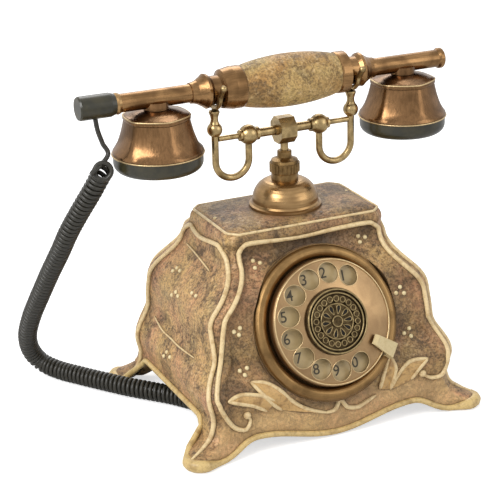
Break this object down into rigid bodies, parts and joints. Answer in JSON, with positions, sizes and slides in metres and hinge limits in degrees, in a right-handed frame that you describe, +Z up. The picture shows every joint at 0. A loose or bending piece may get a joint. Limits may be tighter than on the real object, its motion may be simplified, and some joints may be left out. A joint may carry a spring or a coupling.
{
  "type": "rotary telephone",
  "caption": "Ornate table telephone with a rotary dial, a two-hooked cradle on a sprung post and a bell-ended handset on a curly cord.",
  "frame": {"origin": "on the table, under the axis of the cradle post at the middle of the casing", "axes": "+Z up, +X to the right along the handset, the dial faces -Y"},
  "size_m": [0.2564, 0.1805, 0.2198],
  "materials": {
    "casing_paint": "hand-rubbed mottled copper, gold and grey-green over metal",
    "zinc_plate": "zinc plated steel",
    "antique_brass": "aged brass, brushed, brown in the hollows",
    "antique_copper": "aged copper-brown brass, brushed along the turning",
    "dial_bronze": "satin grey-brown bronze",
    "dark_bronze": "dark pierced bronze with bright edges",
    "dark_plastic": "dark olive-black moulded plastic",
    "cord_vinyl": "dark grey-brown vinyl",
    "number_plate_enamel": "beige enamel with dark grey numbers",
    "cream_plastic": "cream moulded plastic",
    "board_laminate": "brown laminate",
    "component_plastic": "moulded component cases",
    "coil_wire": "varnished winding",
    "gong_brass": "polished brass",
    "spring_steel": "bright steel",
    "foot_rubber": "soft rubber",
    "capsule_aluminium": "pressed aluminium",
    "grip_paint": "mottled gold and brown paint over turned wood"
  },
  "bodies": {
    "base": {"casing": "casing_paint", "casing_posts": "casing_paint", "foot_pads": "foot_rubber", "base_plate": "zinc_plate", "base_screws": "spring_steel", "line_jack": "cream_plastic", "cord_socket": "dark_plastic", "network_board": "board_laminate", "board_parts": "component_plastic", "ringer_frame": "zinc_plate", "ringer_coils": "coil_wire", "gong_left": "gong_brass", "gong_right": "gong_brass", "gong_screws": "spring_steel", "dial_bezel": "dial_bronze", "dial_screws": "spring_steel", "dial_frame": "zinc_plate", "number_plate": "number_plate_enamel", "finger_stop": "cream_plastic", "governor_cup": "zinc_plate", "pulse_contacts": "board_laminate", "dome": "antique_brass", "knurled_nut": "antique_brass", "hook_frame": "zinc_plate", "hook_screws": "spring_steel", "hook_contacts": "board_laminate", "hook_spring": "spring_steel", "cord_curl": "cord_vinyl", "cord_lead_lower": "cord_vinyl"},
    "dial": {"finger_wheel": "dial_bronze", "rosette_cap": "dark_bronze", "dial_shaft": "spring_steel", "main_gear": "gong_brass"},
    "governor": {"governor_rotor": "gong_brass"},
    "cradle": {"plunger": "antique_brass", "cradle_block": "antique_brass", "crossbar": "antique_brass", "ball_left": "antique_brass", "ball_right": "antique_brass", "hook_left": "antique_brass", "hook_right": "antique_brass", "fork_left": "antique_brass", "fork_right": "antique_brass"},
    "handset": {"handset_tube": "antique_copper", "grip": "grip_paint", "ferrule_left": "antique_copper", "ferrule_right": "antique_copper", "cup_saddles": "antique_copper", "mouth_shell": "antique_copper", "mouth_capsule": "capsule_aluminium", "mouth_cap": "dark_plastic", "ear_shell": "antique_copper", "ear_capsule": "capsule_aluminium", "ear_cap": "dark_plastic", "end_ring": "antique_brass", "cord_cap": "dark_plastic", "cord_lead_upper": "cord_vinyl"},
    "hook_lever": {"hook_lever": "spring_steel"},
    "clapper": {"clapper": "spring_steel"}
  },
  "joints": [
    {"name": "dial_turn", "type": "hinge", "parent": "base", "child": "dial", "pos_m": [0, -0.05164, 0.068], "axis": [0, 0.9225, -0.3859], "range_deg": [0, 309], "stiffness_Nm_per_rad": 0.004, "springref_deg": -28.65},
    {"name": "governor_turn", "type": "hinge", "parent": "base", "child": "governor", "pos_m": [-0.01973, -0.05441, 0.06137], "axis": [0, 0.9225, -0.3859], "range_deg": [-1240, 0]},
    {"name": "cradle_press", "type": "slide", "parent": "base", "child": "cradle", "axis": [0, 0, 1], "range_m": [0, 0.004], "stiffness_N_per_m": 208, "springref_m": 0.012, "deforming": ["hook_spring"]},
    {"name": "handset_lift", "type": "slide", "parent": "cradle", "child": "handset", "axis": [0, 0, 1], "range_m": [0, 0.08]},
    {"name": "hook_lever", "type": "hinge", "parent": "base", "child": "hook_lever", "pos_m": [0, 0.016, 0.0945], "axis": [1, 0, 0], "range_deg": [-13.2, 0]},
    {"name": "clapper_swing", "type": "hinge", "parent": "base", "child": "clapper", "pos_m": [0, 0.043, 0.044], "axis": [0, 0, 1], "range_deg": [-7, 7], "stiffness_Nm_per_rad": 0.002}
  ],
  "couplings": [
    {"joint": "governor_turn", "follows": "dial_turn", "ratio": -4},
    {"joint": "hook_lever", "follows": "cradle_press", "rad_per_m": -56}
  ]
}
